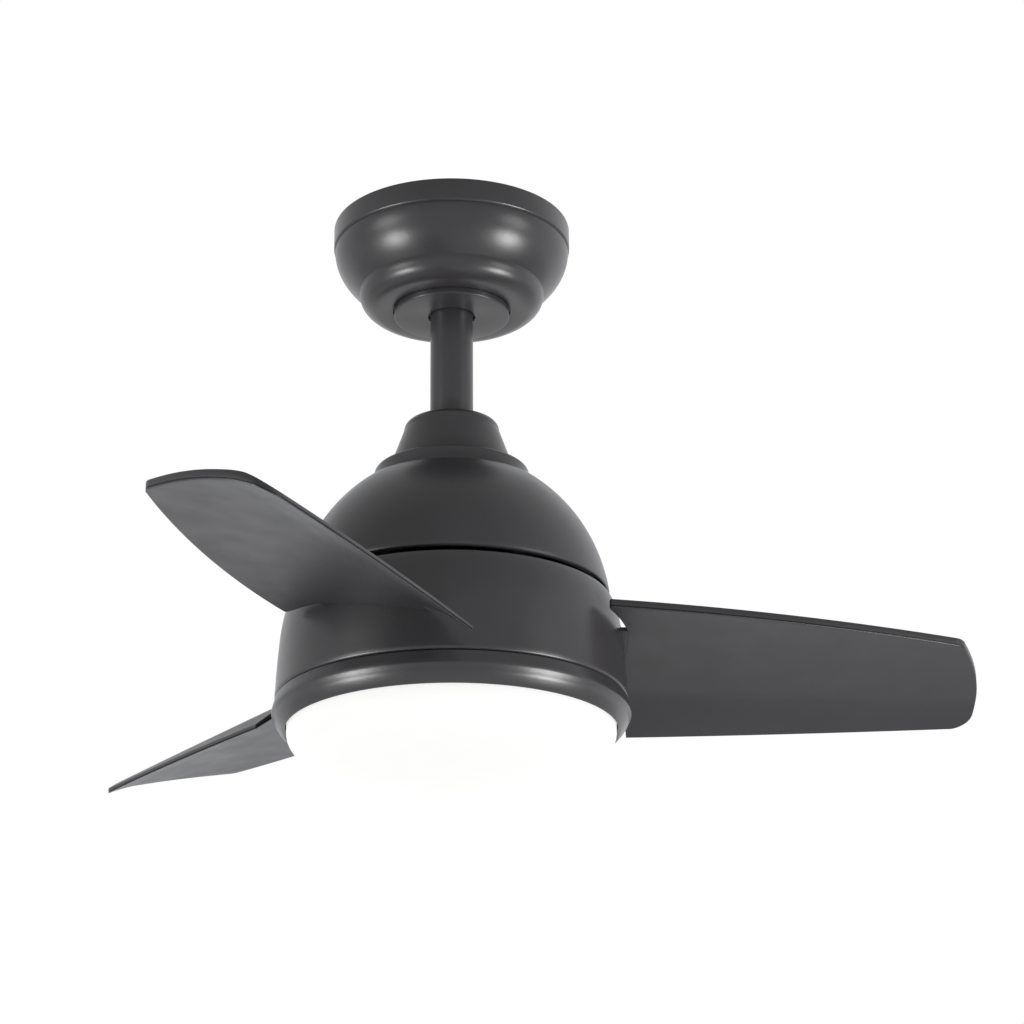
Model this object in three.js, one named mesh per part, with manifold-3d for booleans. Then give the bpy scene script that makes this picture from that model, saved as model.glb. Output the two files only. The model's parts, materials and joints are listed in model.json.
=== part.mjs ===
// Three-blade ceiling fan with a light, in millimetres, +Z up.
// The origin is the centre of the hanger bracket's flat top face, against the ceiling.
// The fan hangs down towards -Z, and blade 1 points towards +X.
// Pieces run from the ceiling down: hanger, downrod, motor, blades, light.
// The dome and the light hang still on a hollow shaft, and the band between them turns with the blades.
import * as THREE from "three";
import { mergeVertices } from "three/addons/utils/BufferGeometryUtils.js";
import Module from "manifold-3d";

const wasm = await Module();
wasm.setup();

// ---------- driving dimensions ----------
const GAP = 0.3; // between two pieces that touch
const ROUND = 24; // facets of a large round piece
const SMALL = 10; // facets of a small round piece
const HIDDEN = 24; // facets of a round piece inside a housing
const SHEET = 1.5; // steel sheet of the housings

// Hanger
const BRACKET = { length: 104, width: 36, plate: 2, legX: 31, legWidth: 24, tabZ: -48.6 };
const SLOT = { spacing: 88.9, width: 5.2, length: 16 };
const BALL = { z: -24, radius: 23, top: -11, bottom: -40 };
const LINER = { inner: 23.3, outer: 24.5 };
const RECEIVER = { front: 23.6, back: 47, halfWidth: 26, bottom: -27 };
const TERMINALS = { front: 21, back: 34, halfWidth: 13, bottom: -9.6 };
const SEAT = { inner: 24.8, outer: 26.8, mouth: 17.5, flange: 33 };

// Canopy
const CANOPY = { top: -0.4, radius: 69.7, bandBottom: -13.8, sheet: 1.2, floor: -50.3, hole: 18.5 };
const COVER_DISC = { radius: 33.85, top: -51, bottom: -56.2, hole: 13.8, sheet: 1.6 };
const CANOPY_SCREW_X = 27;

// Downrod and coupling
const ROD = { radius: 12.5, inner: 11, top: -8, bottom: -146.6 };
const COUPLING = { top: -131, bottom: -154.3, radius: 17, bore: 12.8, flange: 30, flangeTop: -151 };
const COUPLING_COVER = { top: -124.4, bottom: -154.3, topRadius: 22.8, shoulder: 27.6, baseRadius: 36.4 };
const PIN_Z = -15.5; // cross pin through the ball's neck and the rod
const CLEVIS_Z = -136.5; // cross pin through the rod and the coupling
const SET_SCREW_Z = -135;
const PIN_RADIUS = 3;

// Housings
const NECK = { top: -154.6, bottom: -164.5, radius: 44.5 };
const DOME = { lip: -231.7, centre: -244.2, radius: 90.55, height: 95.57 };
const BAND = { top: -234.9, bottom: -293.5 };
const TRIM = { lip: -294.7, top: -297.4, bottom: -311.2, radius: 100.5 };
const DIFFUSER = { radius: 92, depth: 26, roundness: 2.3, wall: 2 };

// Motor
const SHAFT = { radius: 7.5, inner: 4.8, top: -147.4, bottom: -304.6 };
const BEARING = { outer: 17.5, width: 11, upper: -175.5, lower: -214.5 };
const ROTOR = { top: -172, bottom: -228, shell: 55.5, magnets: 52.6 };
const MAGNETS = { inner: 48.6, low: -216, high: -184 };
const STATOR = { radius: 47.8, top: -190, bottom: -210, poles: 6 };
const CARRIER = { wall: 60, flange: 90, flangeTop: -277, plate: 3 };
const SHELF = { z: -280.3, inner: 80 };

// Blades: r runs out along the blade, s across it towards its lower edge
const BLADES = 3;
const BLADE_TURN = 0.0186; // radians from +X to the first blade's line
const BLADE_REACH = 306.4; // farthest point of a blade from the fan's axis
const ROOT_ARC = 101.2; // radius of the hollow in the root, round the fan's axis
const ROOT_FACE = 98; // r of the root beside the band
const ROOT_BOW = 5; // how far the root's lower corner stands out from that
const TONGUE = { inner: 64, from: -26, to: 38, thick: 2.2 };

// Light
const LIGHT_PLATE = { z: -299, radius: 93, sheet: 1.5 };
const LED_BOARD = { top: -305.2, radius: 80, hole: 14, thick: 1.6 };
const LEDS = [{ radius: 32, count: 6 }, { radius: 64, count: 12 }];
const DRIVER = { inner: 24, outer: 74, halfWidth: 17, top: -286.6 };

// ---------- geometry helpers ----------
function toSolid(geometry) {
  const bare = geometry.clone();
  bare.deleteAttribute("normal");
  bare.deleteAttribute("uv");
  const merged = mergeVertices(bare, 1e-4);
  return new wasm.Manifold(
    new wasm.Mesh({
      numProp: 3,
      vertProperties: new Float32Array(merged.attributes.position.array),
      triVerts: new Uint32Array(merged.index.array),
    }),
  );
}

function toGeometry(solid) {
  const mesh = solid.getMesh();
  const geometry = new THREE.BufferGeometry();
  geometry.setAttribute("position", new THREE.BufferAttribute(mesh.vertProperties, 3));
  geometry.setIndex(new THREE.BufferAttribute(mesh.triVerts, 1));
  return geometry;
}

const join = (first, ...rest) => rest.reduce((sum, one) => sum.add(one), first);
const cut = (first, ...rest) => rest.reduce((left, one) => left.subtract(one), first);

// A closed outline of [radius, z] points turned round +Z.
function turned(outline, facets = ROUND) {
  const points = outline.map(([radius, z]) => new THREE.Vector2(radius, z));
  if (outline[0][0] > 0) points.push(points[0].clone());
  if (THREE.ShapeUtils.area(points) < 0) points.reverse();
  const geometry = new THREE.LatheGeometry(points, facets);
  geometry.rotateX(Math.PI / 2);
  return toSolid(geometry);
}

// A ring or disc between two radii and two heights.
function ring(inner, outer, low, high, facets = HIDDEN) {
  return turned([[inner, low], [outer, low], [outer, high], [inner, high]], facets);
}

function cylinder(radius, from, to, facets = SMALL) {
  const start = new THREE.Vector3(...from);
  const along = new THREE.Vector3(...to).sub(start);
  const geometry = new THREE.CylinderGeometry(radius, radius, along.length(), facets);
  const up = new THREE.Vector3(0, 1, 0);
  geometry.applyQuaternion(new THREE.Quaternion().setFromUnitVectors(up, along.clone().normalize()));
  geometry.translate(...start.addScaledVector(along, 0.5).toArray());
  return toSolid(geometry);
}

function box(low, high) {
  const size = high.map((value, i) => value - low[i]);
  const geometry = new THREE.BoxGeometry(...size);
  geometry.translate(...high.map((value, i) => (value + low[i]) / 2));
  return toSolid(geometry);
}

// Points on an ellipse, angles in degrees from +radius towards +z.
function arc([cx, cz], [rx, rz], from, to, steps) {
  return Array.from({ length: steps + 1 }, (_, i) => {
    const angle = THREE.MathUtils.degToRad(from + ((to - from) * i) / steps);
    return [cx + rx * Math.cos(angle), cz + rz * Math.sin(angle)];
  });
}

// A turned sheet: the outer skin, listed from its top, and the same skin moved in by the thickness.
function sheet(skin, thick, facets = ROUND) {
  const inside = skin.map(([radius, z], i) => {
    const before = skin[Math.max(i - 1, 0)];
    const after = skin[Math.min(i + 1, skin.length - 1)];
    const run = new THREE.Vector2(after[0] - before[0], after[1] - before[1]).normalize();
    const end = i === 0 || i === skin.length - 1;
    return end && Math.abs(run.y) > 0.5
      ? [radius - thick / Math.abs(run.y), z]
      : [radius + run.y * thick, z - run.x * thick];
  });
  return turned([...skin, ...inside.reverse()], facets);
}

// A tube along a smooth path.
function tube(points, radius, steps, sides = 8) {
  const section = new THREE.Shape();
  section.absarc(0, 0, radius, 0, Math.PI * 2);
  const path = new THREE.CatmullRomCurve3(points.map((point) => new THREE.Vector3(...point)));
  const options = { steps, extrudePath: path, curveSegments: sides / 2, bevelEnabled: false };
  return toSolid(new THREE.ExtrudeGeometry(section, options));
}

// A sector of a ring, centred on an angle in degrees.
function wedge(span, centre, inner, outer, low, high) {
  const shape = new THREE.Shape();
  const from = THREE.MathUtils.degToRad(centre - span / 2);
  const to = THREE.MathUtils.degToRad(centre + span / 2);
  shape.absarc(0, 0, outer, from, to, false);
  shape.absarc(0, 0, inner, to, from, true);
  const options = { depth: high - low, bevelEnabled: false, curveSegments: 4, steps: 1 };
  return toSolid(new THREE.ExtrudeGeometry(shape, options).translate(0, 0, low));
}
// An outline in the (s, z) plane pushed along r, then turned to a blade's direction.
function alongBlade(outline, fromR, toR, index) {
  const section = new THREE.Shape(outline.map(([s, z]) => new THREE.Vector2(s, z)));
  const geometry = new THREE.ExtrudeGeometry(section, { depth: toR - fromR, steps: 1, bevelEnabled: false });
  const place = new THREE.Matrix4().makeBasis(
    new THREE.Vector3(0, 1, 0),
    new THREE.Vector3(0, 0, 1),
    new THREE.Vector3(1, 0, 0),
  );
  geometry.applyMatrix4(place);
  geometry.translate(fromR, 0, 0);
  geometry.rotateZ(bladeAngle(index));
  return toSolid(geometry);
}

const bladeAngle = (index) => BLADE_TURN + (index * Math.PI * 2) / BLADES;

// The [x, y] of a point at radius and angle, in degrees.
function polar(radius, degrees) {
  const angle = THREE.MathUtils.degToRad(degrees);
  return [radius * Math.cos(angle), radius * Math.sin(angle)];
}

function panScrew(x, y, headLow, headHigh, shaftEnd, radius, headRadius) {
  const middle = (headLow + headHigh) / 2;
  const shaft = cylinder(radius, [x, y, middle], [x, y, shaftEnd], 6);
  return join(cylinder(headRadius, [x, y, headLow], [x, y, headHigh], 8), shaft);
}

// ---------- materials ----------
function finish(color, roughness, metalness) {
  return new THREE.MeshStandardMaterial({ color, roughness, metalness });
}
const charcoal = finish(0x424145, 0.42, 0.35);
const bladePlastic = finish(0x4b4b4f, 0.5, 0.0);
const zinc = finish(0xb9bcc0, 0.35, 1.0);
const steel = finish(0x9a9c9f, 0.3, 1.0);
const opal = finish(0xffffff, 0.35, 0.0);
const nylon = finish(0x2a2a2c, 0.6, 0.0);
const copper = finish(0xb0622f, 0.35, 1.0);
const magnet = finish(0x3a3a3c, 0.7, 0.2);
const boardGreen = finish(0x2c6b3f, 0.5, 0.0);
const boardWhite = finish(0xf2f2ee, 0.5, 0.0);
const whitePlastic = finish(0xe6e6e2, 0.5, 0.0);
const lead = finish(0x202022, 0.6, 0.0);

const fan = new THREE.Group();

function add(name, solid, material) {
  const mesh = new THREE.Mesh(toGeometry(solid), material);
  mesh.name = name;
  fan.add(mesh);
}

// ---------- hanger ----------
function hangerBracket() {
  const { length, width, plate, legX, legWidth, tabZ } = BRACKET;
  const half = length / 2;
  const shelf = box([-12, -RECEIVER.back, -plate], [12, TERMINALS.back, 0]); // holds the two boxes below it
  let body = join(box([-half, -width / 2, -plate], [half, width / 2, 0]), shelf);
  for (const side of [-1, 1]) {
    const leg = [side * legX, side * (legX + plate)].sort((a, b) => a - b);
    const tab = [side * (legX - 8), side * (legX + plate)].sort((a, b) => a - b);
    body = join(
      body,
      box([leg[0], -legWidth / 2, tabZ], [leg[1], legWidth / 2, -plate / 2]),
      box([tab[0], -6, tabZ], [tab[1], 6, tabZ + 2.4]),
    );
  }
  const low = (radius) => -THREE.MathUtils.radToDeg(Math.acos(SEAT.mouth / radius));
  const seat = turned([
    ...arc([0, BALL.z], [SEAT.outer, SEAT.outer], low(SEAT.outer), -16, 3),
    [SEAT.flange, BALL.z - 7.4],
    [SEAT.flange, BALL.z - 5.4],
    ...arc([0, BALL.z], [SEAT.inner, SEAT.inner], -12, low(SEAT.inner), 3),
  ], HIDDEN);
  body = join(body, seat);
  // The mouth lets the downrod in from the side. The notch is for supply leads, the slots for ceiling screws.
  const cuts = [
    box([-ROD.radius - 1.5, 0, -46], [ROD.radius + 1.5, 40, BALL.z + 4]),
    box([12.5, -22, -5], [26, 5, 5]),
  ];
  for (const side of [-1, 1]) {
    const x = (side * SLOT.spacing) / 2;
    const reach = (SLOT.length - SLOT.width) / 2;
    cuts.push(
      box([x - reach, -SLOT.width / 2, -5], [x + reach, SLOT.width / 2, 5]),
      cylinder(SLOT.width / 2, [x - reach, 0, -5], [x - reach, 0, 5]),
      cylinder(SLOT.width / 2, [x + reach, 0, -5], [x + reach, 0, 5]),
      cylinder(2, [side * CANOPY_SCREW_X, 0, -60], [side * CANOPY_SCREW_X, 0, -44]),
    );
  }
  return cut(body, ...cuts);
}
add("hanger_bracket", hangerBracket(), zinc);

function ballSeatLiner() {
  const mouth = SEAT.mouth + 0.6;
  const low = (radius) => -THREE.MathUtils.radToDeg(Math.acos(mouth / radius));
  const cup = turned([
    ...arc([0, BALL.z], [LINER.outer, LINER.outer], low(LINER.outer), -14, 3),
    ...arc([0, BALL.z], [LINER.inner, LINER.inner], -14, low(LINER.inner), 3),
  ], HIDDEN);
  return cut(cup, box([-ROD.radius - 2.5, 0, -46], [ROD.radius + 2.5, 40, BALL.z + 4]));
}
add("ball_seat_liner", ballSeatLiner(), nylon);

// Canopy skin: straight band, a fine groove, a large bulge, a smaller bulge and a cove up to a flat floor.
function canopySkin() {
  const { top, radius, bandBottom, floor, hole } = CANOPY;
  return [
    [radius, top],
    [radius, bandBottom],
    [radius - 0.9, bandBottom - 0.6],
    ...arc([-74.3, bandBottom - 1.2], [143.3, 58], 0, -26.6, 3),
    ...arc([42.5, -41.8], [11.8, 10.9], -6, -90, 3),
    [38.5, -52],
    [36, floor],
    [hole, floor],
  ];
}

function canopy() {
  const shell = sheet(canopySkin(), CANOPY.sheet);
  const holes = [-1, 1].map((side) => {
    const x = side * CANOPY_SCREW_X;
    return cylinder(2.2, [x, 0, -60], [x, 0, -45], 12);
  });
  return cut(shell, ...holes);
}
add("canopy", canopy(), charcoal);

[-1, 1].forEach((side, i) => {
  const x = side * CANOPY_SCREW_X;
  const screw = panScrew(x, 0, CANOPY.floor - 2.7, CANOPY.floor - GAP, -43, 1.7, 3.6);
  add(`canopy_screw_${i + 1}`, screw, steel);
});

// The disc that hides the canopy screws.
function canopyCover() {
  const { radius, top, bottom, hole, sheet: wall } = COVER_DISC;
  return turned([
    [hole, bottom],
    [radius - 0.7, bottom],
    [radius, bottom + 0.7],
    [radius, top],
    [radius - wall, top],
    [radius - wall, bottom + wall],
    [hole, bottom + wall],
  ]);
}
add("canopy_cover", canopyCover(), charcoal);

function receiverBox() {
  const { front, back, halfWidth, bottom } = RECEIVER;
  return box([-halfWidth, -back, bottom], [halfWidth, -front, -BRACKET.plate - GAP]);
}
add("receiver_box", receiverBox(), nylon);

function terminalBlock() {
  const { front, back, halfWidth, bottom } = TERMINALS;
  const block = box([-halfWidth, front, bottom], [halfWidth, back, -BRACKET.plate - GAP]);
  const height = (bottom - BRACKET.plate) / 2;
  const ports = [-8, 0, 8].map((x) => cylinder(2, [x, back + 1, height], [x, back - 7, height], 8));
  return cut(block, ...ports);
}
add("terminal_block", terminalBlock(), whitePlastic);

// ---------- ball and downrod ----------
function hangerBall() {
  const { z, radius, top, bottom } = BALL;
  const angle = (height) => THREE.MathUtils.radToDeg(Math.asin((height - z) / radius));
  const body = turned([
    [ROD.radius + GAP, bottom],
    ...arc([0, z], [radius, radius], angle(bottom), angle(top), 6),
    [ROD.radius + GAP, top],
  ], HIDDEN);
  return cut(
    body,
    cylinder(PIN_RADIUS + GAP, [-30, 0, PIN_Z], [30, 0, PIN_Z], 12),
    cylinder(2 + GAP, [0, 10, z], [0, 26, z], 12),
  );
}
add("hanger_ball", hangerBall(), nylon);
add("ball_pin", cylinder(PIN_RADIUS, [-19, 0, PIN_Z], [19, 0, PIN_Z], 12), steel);
add("ball_set_screw", cylinder(2, [0, ROD.radius + GAP, BALL.z], [0, 21.5, BALL.z], 12), steel);

function downrod() {
  return cut(
    ring(ROD.inner, ROD.radius, ROD.bottom, ROD.top),
    cylinder(PIN_RADIUS + GAP, [-20, 0, PIN_Z], [20, 0, PIN_Z], 12),
    cylinder(PIN_RADIUS + GAP, [0, -20, CLEVIS_Z], [0, 20, CLEVIS_Z], 12),
  );
}
add("downrod", downrod(), charcoal);

// The leads rise out of the rod beside the cross pin and run down through the hollow shaft.
const LEAD_Y = 6.5;
const leadPath = [
  [-24, 9, -5.6],
  [-12, 9, -5.2],
  [-2, LEAD_Y, -6.4],
  [0, LEAD_Y, -14],
  [0, LEAD_Y, -60],
  [5.5, LEAD_Y - 3, -108],
  [7, 0, -128],
  [7, 0, -137],
  [4.6, 0, -143],
  [1, 0, -149],
  [0, 0, -158],
  [0, 0, -200],
  [0, 0, -270],
];
add("motor_lead", tube(leadPath, 2, 36, 6), lead);

function motorCoupling() {
  const { top, bottom, radius, bore, flange, flangeTop } = COUPLING;
  const body = turned([
    [SHAFT.radius + GAP, bottom],
    [flange, bottom],
    [flange, flangeTop],
    [radius + 2, flangeTop],
    [radius, flangeTop + 2],
    [radius, top],
    [bore, top],
    [bore, ROD.bottom - GAP],
    [SHAFT.radius + GAP, ROD.bottom - GAP],
  ], HIDDEN);
  return cut(
    body,
    cylinder(PIN_RADIUS + GAP, [0, -30, CLEVIS_Z], [0, 30, CLEVIS_Z], 12),
    cylinder(2.5 + GAP, [8, 0, SET_SCREW_Z], [30, 0, SET_SCREW_Z], 12),
  );
}
add("motor_coupling", motorCoupling(), zinc);

function clevisPin() {
  const pin = join(
    cylinder(PIN_RADIUS, [0, -20, CLEVIS_Z], [0, 22, CLEVIS_Z], 12),
    cylinder(4.8, [0, -22, CLEVIS_Z], [0, -19.5, CLEVIS_Z], 12),
  );
  return cut(pin, cylinder(1.1, [-5, 19.5, CLEVIS_Z], [5, 19.5, CLEVIS_Z], 10));
}
add("clevis_pin", clevisPin(), steel);

const clipPath = [[-7, 19.5], [8, 19.5], [10, 21.6], [8, 23.7], [2, 23.7], [-6, 23.7]];
add("clevis_clip", tube(clipPath.map(([x, y]) => [x, y, CLEVIS_Z]), 0.7, 16, 6), steel);
add("coupling_set_screw", cylinder(2.5, [ROD.radius + GAP, 0, SET_SCREW_Z], [20, 0, SET_SCREW_Z], 12), steel);

function couplingCover() {
  const { top, bottom, topRadius, shoulder, baseRadius } = COUPLING_COVER;
  const skin = [
    [ROD.radius + 0.6, top],
    [topRadius, top],
    ...arc([topRadius, top - 5], [shoulder - topRadius, 5], 70, 0, 2),
    [baseRadius, bottom],
  ];
  return sheet(skin, 1.2);
}
add("coupling_cover", couplingCover(), charcoal);

// ---------- fixed dome ----------
function domeSkin() {
  const { centre, radius, height, lip } = DOME;
  const angleAt = (z) => THREE.MathUtils.radToDeg(Math.asin((z - centre) / height));
  return [
    [SHAFT.radius + GAP, NECK.top],
    [NECK.radius - 1.2, NECK.top],
    [NECK.radius, NECK.top - 1.2],
    [NECK.radius + 0.4, NECK.bottom + 1.5],
    [NECK.radius + 2, NECK.bottom - 0.2],
    ...arc([0, centre], [radius, height], angleAt(NECK.bottom - 1.6), angleAt(lip), 6),
  ];
}
add("motor_dome", sheet(domeSkin(), SHEET), charcoal);

function hexNut(low, high, across) {
  return cut(
    toSolid(
      new THREE.CylinderGeometry(across / Math.sqrt(3), across / Math.sqrt(3), high - low, 6)
        .rotateX(Math.PI / 2)
        .translate(0, 0, (low + high) / 2),
    ),
    cylinder(SHAFT.radius + GAP, [0, 0, low - 1], [0, 0, high + 1], HIDDEN),
  );
}
add("dome_nut", hexNut(NECK.top - SHEET - GAP - 6, NECK.top - SHEET - GAP, 24), zinc);

const CONTROLLER = { radius: 38, top: -165.2, bottom: -166.8, chips: [20, 95, 150, 215, 290] };
function controllerBoard() {
  const { radius, top, bottom } = CONTROLLER;
  const board = ring(SHAFT.radius + GAP, radius, bottom, top);
  const chips = CONTROLLER.chips.map((degrees, i) => {
    const [x, y] = polar(24, degrees);
    const half = 3 + (i % 3);
    return box([x - half, y - half, bottom - 2.7], [x + half, y + half, bottom + 0.3]);
  });
  return join(board, ...chips);
}
add("motor_control_board", controllerBoard(), boardGreen);

// ---------- motor ----------
add("hollow_shaft", ring(SHAFT.inner, SHAFT.radius, SHAFT.bottom, SHAFT.top), steel);

function bearing(label, top) {
  const low = top - BEARING.width;
  const middle = (top + low) / 2;
  const pitch = (SHAFT.radius + BEARING.outer) / 2;
  const race = 2.4;
  const bore = SHAFT.radius + GAP;
  add(`${label}_bearing_inner_race`, ring(bore, bore + race, low, top, 16), steel);
  add(`${label}_bearing_outer_race`, ring(BEARING.outer - race, BEARING.outer, low, top), steel);
  const half = (BEARING.outer - race - (bore + race)) / 2 - GAP;
  let cage = ring(pitch - 0.8 + GAP / 2, pitch + 0.8 + GAP / 2, middle - 1.2, middle + 1.2, 12);
  for (let i = 0; i < 6; i++) {
    const [x, y] = polar(pitch + GAP / 2, i * 60);
    const ball = new THREE.SphereGeometry(half, 6, 3).translate(x, y, middle);
    cage = join(cage, toSolid(ball));
  }
  add(`${label}_bearing_balls`, cage, steel);
}
bearing("upper", BEARING.upper);
bearing("lower", BEARING.lower);

function statorCore() {
  const { radius, top, bottom, poles } = STATOR;
  let core = ring(SHAFT.radius + GAP, 22, bottom, top, 18);
  const shoes = ring(radius - 4, radius, bottom, top);
  for (let i = 0; i < poles; i++) {
    const turn = (i * Math.PI * 2) / poles;
    const tooth = new THREE.BoxGeometry(radius - 22, 12, top - bottom);
    tooth.translate((radius + 20) / 2, 0, (top + bottom) / 2).rotateZ(turn);
    const reach = new THREE.BoxGeometry(12, 40, top - bottom + 2);
    reach.translate(radius - 1, 0, (top + bottom) / 2).rotateZ(turn);
    core = join(core, toSolid(tooth), shoes.intersect(toSolid(reach)));
  }
  return core;
}
add("stator_core", statorCore(), steel);

// The coils are one harness: end turns above and below the core, joined by the runs in its slots.
function statorWindings() {
  const { top, bottom, poles } = STATOR;
  const inner = 24;
  const outer = 42;
  const rise = 5;
  let coils = join(
    ring(inner, outer, top + GAP, top + rise, 18),
    ring(inner, outer, bottom - rise, bottom - GAP, 18),
  );
  for (let i = 0; i < poles; i++) {
    const turn = ((i + 0.5) * Math.PI * 2) / poles;
    const run = new THREE.BoxGeometry(8, 12, top - bottom + 4);
    run.translate(36, 0, (top + bottom) / 2).rotateZ(turn);
    coils = join(coils, toSolid(run));
  }
  return coils;
}
add("stator_windings", statorWindings(), copper);

const hubBore = BEARING.outer + GAP;
function rotorTopCap() {
  const { top, shell } = ROTOR;
  return turned([
    [hubBore, top - 14],
    [hubBore + 3, top - 14],
    [hubBore + 3, top - 3],
    [shell, top - 3],
    [shell, top],
    [11.5, top],
    [11.5, top - 3],
    [hubBore, top - 3],
  ], HIDDEN);
}
add("rotor_top_cap", rotorTopCap(), zinc);

function rotorBottomCap() {
  const { bottom, shell } = ROTOR;
  return turned([
    [11.5, bottom],
    [shell, bottom],
    [shell, bottom + 2.6],
    [hubBore + 3, bottom + 2.6],
    [hubBore + 3, bottom + 13],
    [hubBore, bottom + 13],
    [hubBore, bottom + 2.2],
    [11.5, bottom + 2.2],
  ], HIDDEN);
}
const shellLow = ROTOR.bottom + 2.6 + GAP;
const shellHigh = ROTOR.top - 3 - GAP;
const carrierBolt = [60, 180, 300].map((degrees) => polar(40, degrees));
function boltHoles(radius) {
  const [low, high] = [ROTOR.bottom - 10, ROTOR.bottom + 8];
  return carrierBolt.map(([x, y]) => cylinder(radius, [x, y, low], [x, y, high], 10));
}
add("rotor_bottom_cap", cut(rotorBottomCap(), ...boltHoles(2)), zinc);
add("rotor_shell", ring(ROTOR.magnets + GAP, ROTOR.shell, shellLow, shellHigh), steel);
add("magnet_ring", ring(MAGNETS.inner, ROTOR.magnets, MAGNETS.low, MAGNETS.high), magnet);

// ---------- blades ----------
const quadratic = (start, slope, bend) => (r) => start + slope * (r - 100) + bend * (r - 100) ** 2;
const cwEdge = quadratic(-56, 0.112, 0.00068); // s of the upper edge
const ccwEdge = quadratic(69.5, 0.055, -0.00018); // s of the lower edge
const upperEdgeZ = quadratic(-256.2, -0.032, 0);
const lowerPanelZ = quadratic(-279.6, -0.005, 0); // where the flat panel would meet the lower edge
const BEND = { share: 0.815, soft: 9, drop: 13.2, dropPerMm: 0.043 }; // the lower edge turns down
const ARCH = { root: 2.6, tip: 1.2 };
const BLADE_THICK = { panel: 4.8, bend: 5.6, lowerEdge: 3 };

// z of a blade's underside at a share across it, from the upper edge (0) to the lower edge (1).
function underside(r, share) {
  const width = ccwEdge(r) - cwEdge(r);
  const out = THREE.MathUtils.clamp((r - 100) / 200, 0, 1);
  const flat = THREE.MathUtils.lerp(upperEdgeZ(r), lowerPanelZ(r), share);
  const rise = THREE.MathUtils.lerp(ARCH.root, ARCH.tip, out);
  const arch = rise * Math.sin(Math.PI * Math.min(share / BEND.share, 1));
  const drop = BEND.drop - BEND.dropPerMm * (r - 100);
  const reach = (1 - BEND.share) * width;
  const past = Math.max(0, (share - BEND.share) * width + BEND.soft);
  const bent = past < 2 * BEND.soft ? past ** 2 / (4 * BEND.soft) : past - BEND.soft;
  return flat + arch - (drop / reach) * bent;
}

function thickness(share) {
  const { panel, bend, lowerEdge } = BLADE_THICK;
  if (share < BEND.share) return THREE.MathUtils.lerp(panel, bend, share / BEND.share);
  return THREE.MathUtils.lerp(bend, lowerEdge, (share - BEND.share) / (1 - BEND.share));
}

// How far a rounded corner pulls the outline in, for a share this far into the corner.
const corner = (length, into) => length * (1 - Math.sqrt(1 - THREE.MathUtils.clamp(into, 0, 1) ** 2));

function rootR(share) {
  const s = THREE.MathUtils.lerp(cwEdge(85), ccwEdge(100), share);
  const hollow = Math.sqrt(Math.max(ROOT_ARC ** 2 - s ** 2, 0));
  const face = s < 0 ? Math.min(hollow, ROOT_FACE) : ROOT_FACE + ROOT_BOW * (s / 70) ** 2;
  return face + corner(4, (0.04 - share) / 0.04);
}

function tipR(share) {
  const bow = 28.5 * (share - 0.79) ** 2;
  return BLADE_REACH - bow - corner(12, (share - 0.87) / 0.13) - corner(4, (0.04 - share) / 0.04);
}

const acrossShares = [0, 0.015, 0.045, 0.22, 0.46, 0.66, 0.74, 0.79, 0.83, 0.87, 0.92, 0.96, 0.99, 1];
const alongShares = [0, 0.12, 0.32, 0.55, 0.78, 0.93, 1];

function bladePanel(index) {
  const angle = bladeAngle(index);
  const points = [];
  const rows = alongShares.length;
  const columns = acrossShares.length;
  for (const top of [0, 1]) {
    for (const along of alongShares) {
      for (const share of acrossShares) {
        const r = THREE.MathUtils.lerp(rootR(share), tipR(share), along);
        const s = THREE.MathUtils.lerp(cwEdge(r), ccwEdge(r), share);
        const point = new THREE.Vector3(r, s, underside(r, share) + top * thickness(share));
        points.push(...point.applyAxisAngle(new THREE.Vector3(0, 0, 1), angle).toArray());
      }
    }
  }
  const at = (top, row, column) => top * rows * columns + row * columns + column;
  const faces = [];
  const quad = (a, b, c, d) => faces.push(a, b, c, a, c, d);
  for (let row = 0; row < rows - 1; row++) {
    for (let column = 0; column < columns - 1; column++) {
      quad(at(1, row, column), at(1, row + 1, column), at(1, row + 1, column + 1), at(1, row, column + 1));
      quad(at(0, row, column), at(0, row, column + 1), at(0, row + 1, column + 1), at(0, row + 1, column));
    }
    const last = columns - 1;
    quad(at(0, row, 0), at(0, row + 1, 0), at(1, row + 1, 0), at(1, row, 0));
    quad(at(0, row, last), at(1, row, last), at(1, row + 1, last), at(0, row + 1, last));
  }
  for (let column = 0; column < columns - 1; column++) {
    const end = rows - 1;
    quad(at(0, 0, column), at(1, 0, column), at(1, 0, column + 1), at(0, 0, column + 1));
    quad(at(0, end, column), at(0, end, column + 1), at(1, end, column + 1), at(1, end, column));
  }
  const geometry = new THREE.BufferGeometry();
  geometry.setAttribute("position", new THREE.Float32BufferAttribute(points, 3));
  geometry.setIndex(faces);
  return toSolid(geometry);
}

// z of a blade's underside beside the band, at a distance s across it.
function rootUnderside(s) {
  const share = (s - cwEdge(ROOT_FACE)) / (ccwEdge(ROOT_FACE) - cwEdge(ROOT_FACE));
  return underside(ROOT_FACE, share);
}

// Points [s, z] along that underside, moved up by a distance.
function rootLine(fromS, toS, raise) {
  const steps = 4;
  return Array.from({ length: steps + 1 }, (_, i) => {
    const s = THREE.MathUtils.lerp(fromS, toS, i / steps);
    return [s, rootUnderside(s) + raise];
  });
}

const rootStrip = (fromS, toS, low, high) => [...rootLine(fromS, toS, low), ...rootLine(toS, fromS, high)];

const TONGUE_RAISE = 0.4; // the tongue lies just above the blade's underside
const SCREW_R = 76; // r of the two screws that hold each tongue
const SCREW_S = [-10, 22];
const BAND_SCREW = { radius: 86, angle: 60 }; // beside each blade, through the band's shelf
function bladePoint(index, r, s) {
  const point = new THREE.Vector3(r, s, 0).applyAxisAngle(new THREE.Vector3(0, 0, 1), bladeAngle(index));
  return [point.x, point.y];
}
const bandScrewPlace = (index) => bladePoint(index, ...polar(BAND_SCREW.radius, BAND_SCREW.angle));

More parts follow.
